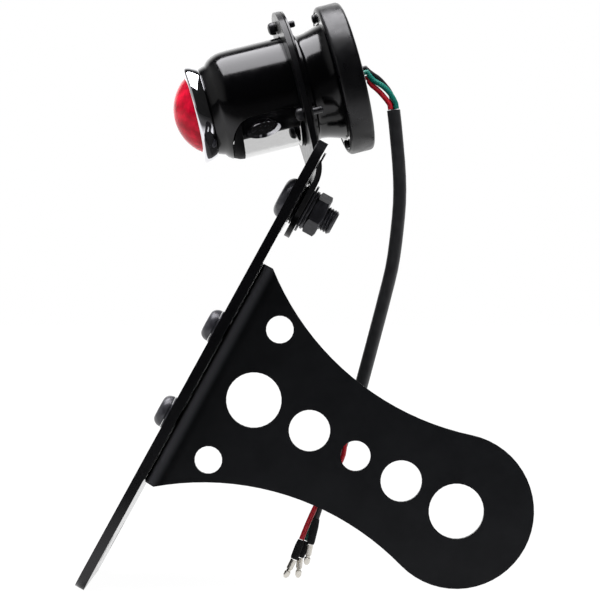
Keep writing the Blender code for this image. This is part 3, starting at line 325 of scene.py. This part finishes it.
def folded_sheet():
    """The arm's satin coat, with a painted highlight in its colour along the fold beside the plate."""
    made = Shader("satin_powder_coat", 0.36, Specular_IOR_Level=0.15)

    def fades(way, start, span):
        """1 to 0 over a span of distances along a direction, measured from start."""
        depth = made.tree.nodes.new("ShaderNodeVectorMath")
        depth.operation = "DOT_PRODUCT"
        depth.inputs[1].default_value = way
        made.link(made.place, depth.inputs[0])
        return mapped(made.tree, depth.outputs["Value"], [start + end for end in span], (1.0, 0.0))

    out = STAND.to_3x3() @ Vector((1, 0, 0))
    across = (0, 1, 0)
    # painted highlight: the mask of the band along the fold where the coat's colour is brightened
    fold = calculate(made.tree, "MULTIPLY", fades(out, out.dot(STAND.translation), PAINTED_HIGHLIGHT_OUT),
                     fades(across, WEB_FACE_DEPTH + SHEET, PAINTED_HIGHLIGHT_ACROSS))
    mixed = made.tree.nodes.new("ShaderNodeMix")
    mixed.data_type = "RGBA"
    plain, painted_highlight_colour, result = mixed.inputs[6], mixed.inputs[7], mixed.outputs[2]
    made.link(fold, mixed.inputs["Factor"])
    made.link(made.wander(made.noise(90, 2), srgb(18, 19, 21), srgb(22, 23, 25)), plain)
    # painted highlight: a pale colour that stands for light caught by the fold
    painted_highlight_colour.default_value = srgb(150, 151, 157)
    made.link(result, made.shader.inputs["Base Color"])
    powder_coat(made, (0.31, 0.42), 0.35 * MM)
    return made.material


def blackened_steel(name, dark, light, roughness):
    """Oxide-black fasteners, a little brighter where the tool has worn them."""
    made = Shader(name, roughness, 0.3, Coat_Weight=0.18, Coat_Roughness=0.22)
    made.colour(made.noise(500, 4), dark, light)
    made.rough(made.noise(900, 3), roughness - 0.08, roughness + 0.1)
    made.bump(made.noise(2500, 2), 0.12, 0.03 * MM, 0.25 * MM)
    return made.material


def enamel(name, colour, roughness):
    """The lamp's deep black enamel."""
    made = Shader(name, roughness, Specular_IOR_Level=0.38)
    made.colour(made.noise(60, 2), colour, (*(1.4 * c for c in colour[:3]), 1.0))
    made.rough(made.noise(300, 2), 0.85 * roughness, 1.3 * roughness)
    made.bump(made.noise(70, 1), 0.03, 0.05 * MM, 0.25 * MM)
    return made.material


def plated(name, colour, roughness, wave):
    """Bright plating with a faint polish grain."""
    made = Shader(name, roughness, 1.0)
    made.colour(made.noise(200, 3), colour, (*(0.92 * c for c in colour[:3]), 1.0))
    made.rough(made.noise(700, 4), roughness * 0.7, roughness * 1.5)
    made.bump(made.noise(wave, 2), 0.05, 0.03 * MM)
    return made.material


def moulded(name, dark, light, roughness, grain, sheen=0.0, specular=0.5):
    """Rubber or soft plastic with a fine moulded grain."""
    made = Shader(name, roughness, Sheen_Weight=sheen, Specular_IOR_Level=specular)
    made.colour(made.noise(250, 3), dark, light)
    made.rough(made.noise(600, 3), roughness - 0.06, roughness + 0.08)
    made.bump(made.noise(grain, 3), 0.15, 0.05 * MM)
    return made.material


def red_plastic():
    """The tail lens: red acrylic with a soft mottled pattern."""
    made = Shader("red_acrylic", 0.12, Specular_IOR_Level=0.1)
    made.colour(made.noise(260, 3), srgb(172, 6, 36), srgb(230, 14, 54))
    made.bump(made.noise(90, 1), 0.04, 0.05 * MM)
    return made.material


def clear_plastic():
    """The clear window strip: thin enough to bend no light."""
    made = Shader("clear_acrylic", 0.04, Specular_IOR_Level=0.3, Alpha=0.14)
    made.colour(made.noise(80, 1), srgb(30, 30, 34), srgb(38, 38, 42))
    made.rough(made.noise(200, 2), 0.02, 0.06)
    return made.material


def dark_glass():
    """The small eye that lights the plate, unlit."""
    made = Shader("dark_eye_glass", 0.1, Specular_IOR_Level=0.25)
    made.colour(made.noise(150, 1), srgb(12, 12, 14), srgb(20, 20, 23))
    return made.material


WIRE_FINISHES = {
    "black": moulded("black_insulation", srgb(24, 24, 26), srgb(32, 32, 34), roughness=0.38, grain=3000),
    "green": moulded("green_insulation", srgb(0, 118, 104), srgb(0, 138, 120), roughness=0.38, grain=3000),
    "red": moulded("red_insulation", srgb(196, 16, 36), srgb(214, 30, 48), roughness=0.38, grain=3000),
}
SLEEVING = moulded("black_pvc_sleeving", srgb(30, 31, 33), srgb(40, 41, 43), roughness=0.4, grain=1200,
                   sheen=0.15)
PLATE_COAT = coated_steel("plate_powder_coat", srgb(8, 8, 10), srgb(12, 12, 14), roughness=0.36,
                          specular=0.06, coat=0.75, coat_roughness=0.08, edge=0.12 * MM)
BRACKET_COAT = coated_steel("bracket_gloss_coat", srgb(7, 7, 9), srgb(11, 11, 13), roughness=0.38,
                            specular=0.1, coat=0.3, coat_roughness=0.15, edge=0.25 * MM)
FASTENER = blackened_steel("oxide_black_steel", srgb(46, 46, 51), srgb(62, 62, 68), roughness=0.36)
SCREW = blackened_steel("oxide_black_screw", srgb(22, 22, 25), srgb(34, 34, 38), roughness=0.4)
GLOSS = enamel("gloss_black_enamel", srgb(3, 3, 4), roughness=0.13)
SATIN = enamel("satin_black_enamel", srgb(9, 9, 11), roughness=0.3)
CHROME = plated("bright_chrome", srgb(232, 232, 236), roughness=0.05, wave=120)
TIN = plated("tinned_brass_plate", srgb(214, 210, 202), roughness=0.22, wave=900)
SEAL = moulded("black_window_seal", srgb(4, 4, 6), srgb(8, 8, 10), roughness=0.55, grain=2200, specular=0.12)
RUBBER = moulded("black_rubber_moulding", srgb(18, 18, 20), srgb(28, 28, 30), roughness=0.72, grain=2200,
                 specular=0.2)
BOARD = moulded("black_solder_resist", srgb(12, 14, 14), srgb(18, 21, 20), roughness=0.45, grain=1500)

FINISHES = {
    "backing_plate": PLATE_COAT, "side_arm": folded_sheet(), "lamp_bracket": BRACKET_COAT,
    "lamp_housing": GLOSS, "rear_body": GLOSS, "rear_cup": SATIN, "bezel_ring": CHROME,
    "red_lens": red_plastic(), "window_lens": clear_plastic(), "window_seal": SEAL, "eye_ring": CHROME,
    "eye_glass": dark_glass(), "lamp_core": SEAL, "lamp_board": BOARD, "wire_grommet": RUBBER,
}
FINISHES.update({f"boot_{colour}": RUBBER for colour in WIRE_FINISHES})
FINISHES.update({f"bullet_terminal_{colour}": TIN for colour in WIRE_FINISHES})
FINISHES.update({name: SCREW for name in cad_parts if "_screw_" in name})


def dress_nodes(weld=0.002 * MM, sharp=math.radians(34)):
    """Gives each CAD node its material, and smooth shading between its sharp edges."""
    for name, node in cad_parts.items():
        node.data.materials.clear()
        node.data.materials.append(FINISHES.get(name, FASTENER))
        if "custom_normal" in node.data.attributes:
            node.data.attributes.remove(node.data.attributes["custom_normal"])
        node.data.polygons.foreach_set("use_smooth", [True] * len(node.data.polygons))
        node.modifiers.new("weld", "WELD").merge_threshold = weld
        node.modifiers.new("sharp_edges", "EDGE_SPLIT").split_angle = sharp


# Cords

def metres(points):
    """The points of a route, given in millimetres."""
    return [Vector(point) * MM for point in points]


def smooth_route(points, spacing, steps=24):
    """Evenly spaced points along a smooth curve through some points."""
    knots = [2 * points[0] - points[1]] + points + [2 * points[-1] - points[-2]]
    dense = []
    for a, b, c, d in zip(knots, knots[1:], knots[2:], knots[3:]):
        for i in range(steps):
            t = i / steps
            dense.append(0.5 * (2 * b + (c - a) * t + (2 * a - 5 * b + 4 * c - d) * t ** 2
                                + (3 * b - a - 3 * c + d) * t ** 3))
    dense.append(points[-1])
    along = [0.0]
    for a, b in zip(dense, dense[1:]):
        along.append(along[-1] + (b - a).length)
    count = round(along[-1] / spacing)
    route, k = [], 0
    for i in range(count + 1):
        want = along[-1] * i / count
        while k < len(along) - 2 and along[k + 1] < want:
            k += 1
        part = (want - along[k]) / (along[k + 1] - along[k])
        route.append(dense[k].lerp(dense[k + 1], min(part, 1.0)))
    return route


def tube(name, points, radius, finish, node):
    """A round cord that stands for a CAD node. Returns it with its route."""
    route = smooth_route(points, 2 * radius)
    curve = bpy.data.curves.new(name, "CURVE")
    curve.dimensions = "3D"
    curve.bevel_depth = radius
    curve.bevel_resolution = 6
    curve.use_fill_caps = True
    spline = curve.splines.new("POLY")
    spline.points.add(len(route) - 1)
    for point, place in zip(spline.points, route):
        point.co = (*place, 1.0)
    curve.materials.append(finish)
    made = bpy.data.objects.new(name, curve)
    bpy.context.scene.collection.objects.link(made)
    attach(made, BODY)
    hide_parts(node)
    return made, route


def in_bundle(face, way, turn):
    """Two points where a wire stands on a face of the sleeve: near it, and further out."""
    side = way.cross((0, 1, 0)).normalized()
    spread = (side * math.sin(math.radians(turn)) + way.cross(side) * math.cos(math.radians(turn))) * BUNDLE
    return [face + spread + way * rise for rise in (WIRE_SEAT, WIRE_LEAD)]


def make_cords():
    """The sleeve, the three leads into it from the grommet and the three tails out of it to the boots."""
    sleeve, route = tube("cord_sleeve", metres(SLEEVE_ROUTE), SLEEVE, SLEEVING, "wire_sleeve")
    top, top_way = route[0], (route[0] - route[1]).normalized()
    end, end_way = route[-1], (route[-1] - route[-2]).normalized()
    for colour, (offset, turn, way) in UPPER_WIRES.items():
        across, above = offset[0] * MM, offset[1] * MM
        leave = [LAMP @ Vector((x, across, above)) for x in (WIRE_STATION, WIRE_STATION + WIRE_LEAD)]
        near, lead = in_bundle(top, top_way, turn)
        made, _ = tube(f"lead_{colour}", [*leave, *metres(way), lead, near], WIRE, WIRE_FINISHES[colour],
                       f"wire_{colour}_upper")
    for colour, (turn, way) in LOWER_WIRES.items():
        made, tail = tube(f"tail_{colour}", [*in_bundle(end, end_way, turn), *metres(way)], WIRE,
                          WIRE_FINISHES[colour], f"wire_{colour}_lower")


# Pieces made of meshes

def mesh_piece(name, bm, finish, place, node=None):
    """A piece from a mesh, in a place, that may stand for a CAD node."""
    bmesh.ops.recalc_face_normals(bm, faces=bm.faces)
    mesh = bpy.data.meshes.new(name)
    bm.to_mesh(mesh)
    bm.free()
    mesh.shade_smooth()
    mesh.set_sharp_from_angle(angle=math.radians(32))
    mesh.materials.append(finish)
    made = bpy.data.objects.new(name, mesh)
    bpy.context.scene.collection.objects.link(made)
    made.matrix_world = place
    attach(made, BODY)
    if node:
        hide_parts(node)
    return made


def turned(bm, profile, sides):
    """Adds a closed ring turned about X from points (x, radius)."""
    rows = [[bm.verts.new((x, r * math.cos(a), r * math.sin(a)))
             for a in (2 * math.pi * i / sides for i in range(sides))] for x, r in profile]
    for below, above in zip(rows, rows[1:] + rows[:1]):
        for i in range(sides):
            bm.faces.new((below[i - 1], below[i], above[i], above[i - 1]))


def make_eye_ring():
    """The eye's bright ring, with the funnel that shows under the window."""
    funnel = [(0, EYE_HOLE), (EYE_HEIGHT - EYE_FUNNEL_END, EYE_RADIUS - 2 * EYE_LIP),
              (EYE_HEIGHT, EYE_RADIUS - EYE_LIP), (EYE_HEIGHT - EYE_LIP, EYE_RADIUS), (0, EYE_RADIUS)]
    bm = bmesh.new()
    turned(bm, funnel, LAMP_SIDES)
    mesh_piece("eye_ring_flared", bm, CHROME, EYE, "eye_ring")


def make_core_shroud():
    """The black tube round the lamp's core, between its board and its collar, open over the eye."""
    bm = bmesh.new()
    inner = SHROUD_RADIUS - SHROUD_WALL
    turned(bm, [(CORE_FRONT, inner), (CORE_FRONT, SHROUD_RADIUS), (SHROUD_REAR, SHROUD_RADIUS),
                (SHROUD_REAR, inner)], LAMP_SIDES)
    shroud = mesh_piece("core_shroud", bm, SEAL, LAMP)
    bm = bmesh.new()
    bmesh.ops.create_cone(bm, cap_ends=True, segments=DRILL_SIDES, radius1=SHROUD_HOLE, radius2=SHROUD_HOLE,
                          depth=SHROUD_DRILL_LENGTH, matrix=Matrix.Rotation(math.pi / 2, 4, "Y"))
    mesh = bpy.data.meshes.new("drill")
    bm.to_mesh(mesh)
    bm.free()
    drill = bpy.data.objects.new("drill", mesh)
    bpy.context.scene.collection.objects.link(drill)
    drill.matrix_world = EYE
    cut = shroud.modifiers.new("eye_opening", "BOOLEAN")
    cut.operation, cut.solver, cut.object = "DIFFERENCE", "EXACT", drill
    bpy.context.view_layer.update()
    shroud.data = bpy.data.meshes.new_from_object(shroud.evaluated_get(bpy.context.evaluated_depsgraph_get()))
    shroud.modifiers.clear()
    bpy.data.objects.remove(drill)


# Bolts, and the coat that closes the gaps between the pieces they clamp, so that no light shows through

def gap_stations(seat, *layers):
    """Where each gap of a clamped stack begins, from the bolt head's seat to the nut's."""
    stations = [seat]
    for layer in layers:
        stations.append(stations[-1] + SEAT + layer)
    return stations


LAMP_GAPS = gap_stations(-PLATE_THICKNESS - SEAT, PLATE_THICKNESS, SPACER_THICKNESS, STRAP_THICKNESS,
                         LAMP_WASHER_THICKNESS, LOCK_WASHER_THICKNESS)
ARM_GAPS = gap_stations(-PLATE_THICKNESS - SEAT - ARM_WASHER_THICKNESS - SEAT, ARM_WASHER_THICKNESS,
                        PLATE_THICKNESS, SHEET, ARM_WASHER_THICKNESS)
ARM_GAPS_AT_PLATE_AND_FLANGE = (ARM_GAPS[1], ARM_GAPS[3])


def seams(name, place, gaps, radii):
    """Thin black rings about X in the gaps."""
    inner, outer = radii
    bm = bmesh.new()
    for gap in gaps:
        front, rear = gap + SEAM_ROOM, gap + SEAT - SEAM_ROOM
        turned(bm, [(front, inner), (front, outer), (rear, outer), (rear, inner)], BOLT_SIDES)
    mesh_piece(name, bm, SEAL, place)


def make_seams():
    seams("lamp_bolt_seams", LAMP_BOLT_FRAME, LAMP_GAPS, LAMP_SEAM)
    for where, place in ARM_BOLT_FRAMES.items():
        seams(f"arm_bolt_seams_{where}", place, ARM_GAPS_AT_PLATE_AND_FLANGE, ARM_SEAM)
    middle = Matrix.Translation((SEAT / 2, FLANGE_SEAM_DEPTH, -ARM_DROP))
    size = (SEAT - 2 * SEAM_ROOM, FLANGE_SEAM_WIDTH, 2 * (FLANGE_HALF_LENGTH - FLANGE_SEAM_INSET), 1.0)
    bm = bmesh.new()
    bmesh.ops.create_cube(bm, size=1.0, matrix=middle @ Matrix.Diagonal(size))
    mesh_piece("flange_seam", bm, SEAL, STAND)


def threaded_bolt(name, node, place, length, head, flat, height, shank, thread, pitch, socket):
    """A button head bolt along X, with a cut thread at its end and a hexagon socket in its head.

    length counts from under the head, thread is the thread's length and socket the width across its flats.
    """
    dome, turn = 8, 6  # steps of the head's curve and of one turn of the thread
    socket_floor, groove, run_in, tip = 0.45 * height, 0.57 * pitch, 0.2 * MM, 0.1 * MM
    angles = [2 * math.pi * i / BOLT_SIDES for i in range(BOLT_SIDES)]
    bm = bmesh.new()

    def ring(x, radii):
        return [bm.verts.new((x, r * math.cos(a), r * math.sin(a))) for r, a in zip(radii, angles)]

    def round_ring(x, radius):
        return ring(x, [radius] * BOLT_SIDES)

    hexagon = [socket / 2 / math.cos(a % (math.pi / 3) - math.pi / 6) for a in angles]
    rings = [ring(-socket_floor, hexagon), ring(-height, hexagon)]
    for k in range(dome, -1, -1):
        rise, reach = math.sin(math.pi / 2 * k / dome), math.cos(math.pi / 2 * k / dome)
        rings.append(round_ring(-height * rise, flat + (head - flat) * reach))
    rings += [round_ring(0, shank), round_ring(length - thread, shank)]
    count = round((thread - pitch) / pitch * turn)
    for k in range(count + 1):
        x = length - thread + run_in + (thread - pitch) * k / count
        fade = min(1.0, k / turn, (count - k) / (turn * 0.7) + 0.3)  # shallow at the thread's two ends
        cuts = [1 - abs(2 * ((k / turn - i / BOLT_SIDES) % 1.0) - 1) for i in range(BOLT_SIDES)]
        rings.append(ring(x, [shank - groove * fade * cut for cut in cuts]))
    rings += [round_ring(length - tip, shank - 0.75 * pitch), round_ring(length, shank - 0.9 * pitch)]
    for a, b in zip(rings, rings[1:]):
        for i in range(BOLT_SIDES):
            bm.faces.new((a[i - 1], a[i], b[i], b[i - 1]))
    bm.faces.new(rings[0])
    bm.faces.new(reversed(rings[-1]))
    mesh_piece(name, bm, FASTENER, place, node)


def make_bolts():
    length = LAMP_GAPS[-1] + SEAT + LAMP_NUT_HEIGHT + LAMP_THREAD_PAST_NUT - LAMP_GAPS[0]
    threaded_bolt("lamp_bolt_threaded", "lamp_bolt",
                  LAMP_BOLT_FRAME @ Matrix.Translation((LAMP_GAPS[0], 0, 0)), length, **LAMP_BOLT)
    length = ARM_GAPS[-1] + SEAT + ARM_NUT_HEIGHT + ARM_THREAD_PAST_NUT - ARM_GAPS[0]
    for where, place in ARM_BOLT_FRAMES.items():
        threaded_bolt(f"arm_bolt_{where}_threaded", f"arm_bolt_{where}",
                      place @ Matrix.Translation((ARM_GAPS[0], 0, 0)), length, **ARM_BOLT)


# Light, floor and camera

def area_light(name, place, target, size, radiance, mirrored=True):
    """A softbox of an even radiance, aimed at a target; mirrored shows it in reflections."""
    data = bpy.data.lights.new(name, "AREA")
    data.shape = "RECTANGLE"
    data.color = LAMP_TINT
    data.size, data.size_y = size
    data.energy = radiance * math.pi * size[0] * size[1]
    made = bpy.data.objects.new(name, data)
    bpy.context.scene.collection.objects.link(made)
    made.location = place
    made.visible_glossy = mirrored
    made.rotation_euler = (Vector(target) - Vector(place)).to_track_quat("-Z", "Y").to_euler()


def make_world():
    """White behind the object; for reflections a dark room with a backdrop and a card on the left."""
    world = bpy.data.worlds.new("studio")
    bpy.context.scene.world = world
    world.use_nodes = True
    tree = world.node_tree
    nodes, link = tree.nodes, tree.links.new
    path = nodes.new("ShaderNodeLightPath")
    direction = nodes.new("ShaderNodeSeparateXYZ")
    link(nodes.new("ShaderNodeTexCoord").outputs["Generated"], direction.inputs[0])
    backdrop = mapped(tree, direction.outputs["Y"], BACKDROP_SPAN, (ROOM, BACKDROP))
    card = mapped(tree, direction.outputs["X"], CARD_SPAN, (0.0, LEFT_CARD))
    reflected = nodes.new("ShaderNodeMix")
    reflected.inputs["A"].default_value = AMBIENT
    link(path.outputs["Is Glossy Ray"], reflected.inputs["Factor"])
    link(calculate(tree, "ADD", backdrop, card), reflected.inputs["B"])
    strength = nodes.new("ShaderNodeMix")
    strength.inputs["B"].default_value = 1.0
    link(seen_by_camera(tree, path), strength.inputs["Factor"])
    link(reflected.outputs["Result"], strength.inputs["A"])
    background = nodes["Background"]
    background.inputs["Color"].default_value = (1, 1, 1, 1)
    link(strength.outputs["Result"], background.inputs["Strength"])


def make_floor():
    """A pale floor: white to the camera, with a faint shadow of the object.

    Reflections see it white behind the object. In front of the object its colour is painted darker,
    a painted shade that stands for the dark room in front.
    """
    bm = bmesh.new()
    bmesh.ops.create_circle(bm, cap_ends=True, segments=64, radius=FLOOR_RADIUS)
    mesh = bpy.data.meshes.new("floor")
    bm.to_mesh(mesh)
    bm.free()
    floor = bpy.data.objects.new("floor", mesh)
    bpy.context.scene.collection.objects.link(floor)
    material = bpy.data.materials.new("pale_floor")
    material.use_nodes = True
    tree = material.node_tree
    nodes, link = tree.nodes, tree.links.new
    nodes.clear()
    path = nodes.new("ShaderNodeLightPath")
    place = nodes.new("ShaderNodeTexCoord").outputs["Object"]
    reach = nodes.new("ShaderNodeVectorMath")
    reach.operation = "LENGTH"
    link(place, reach.inputs[0])
    axes = nodes.new("ShaderNodeSeparateXYZ")
    link(place, axes.inputs[0])
    depth = axes.outputs["Y"]

    diffuse = nodes.new("ShaderNodeBsdfDiffuse")
    # painted shade: the floor's colour darkens in front of the object
    link(mapped(tree, depth, PAINTED_SHADE_SPAN, (FLOOR_IN_FRONT, FLOOR_BEHIND)), diffuse.inputs["Color"])
    white = nodes.new("ShaderNodeEmission")
    white.inputs["Strength"].default_value = FLOOR_WHITE
    behind = mapped(tree, depth, MIRRORED_SPAN, (0.0, 1.0))
    shown = calculate(tree, "MULTIPLY_ADD", path.outputs["Is Glossy Ray"], behind, seen_by_camera(tree, path))
    unshaded = mapped(tree, reach.outputs["Value"], SHADOW_SPAN, (1.0 - SHADOW_SHARE, 1.0))
    mixed = nodes.new("ShaderNodeMixShader")
    link(calculate(tree, "MULTIPLY", shown, unshaded), mixed.inputs["Fac"])
    link(diffuse.outputs[0], mixed.inputs[1])
    link(white.outputs[0], mixed.inputs[2])
    link(mixed.outputs[0], nodes.new("ShaderNodeOutputMaterial").inputs["Surface"])
    mesh.materials.append(material)


def make_camera():
    data = bpy.data.cameras.new("camera")
    data.lens = CAMERA_LENS
    data.sensor_width = SENSOR
    data.clip_start, data.clip_end = 0.05, 50
    camera = bpy.data.objects.new("camera", data)
    bpy.context.scene.collection.objects.link(camera)
    camera.location = CAMERA_PLACE
    camera.rotation_euler = (math.pi / 2, 0, 0)
    bpy.context.scene.camera = camera


dress_nodes()
make_cords()
make_eye_ring()
make_core_shroud()
make_seams()
make_bolts()
area_light("softbox_above", **SOFTBOX_ABOVE)
area_light("softbox_left", **SOFTBOX_LEFT)
make_world()
make_floor()
make_camera()
bpy.context.scene.view_settings.view_transform = "Standard"
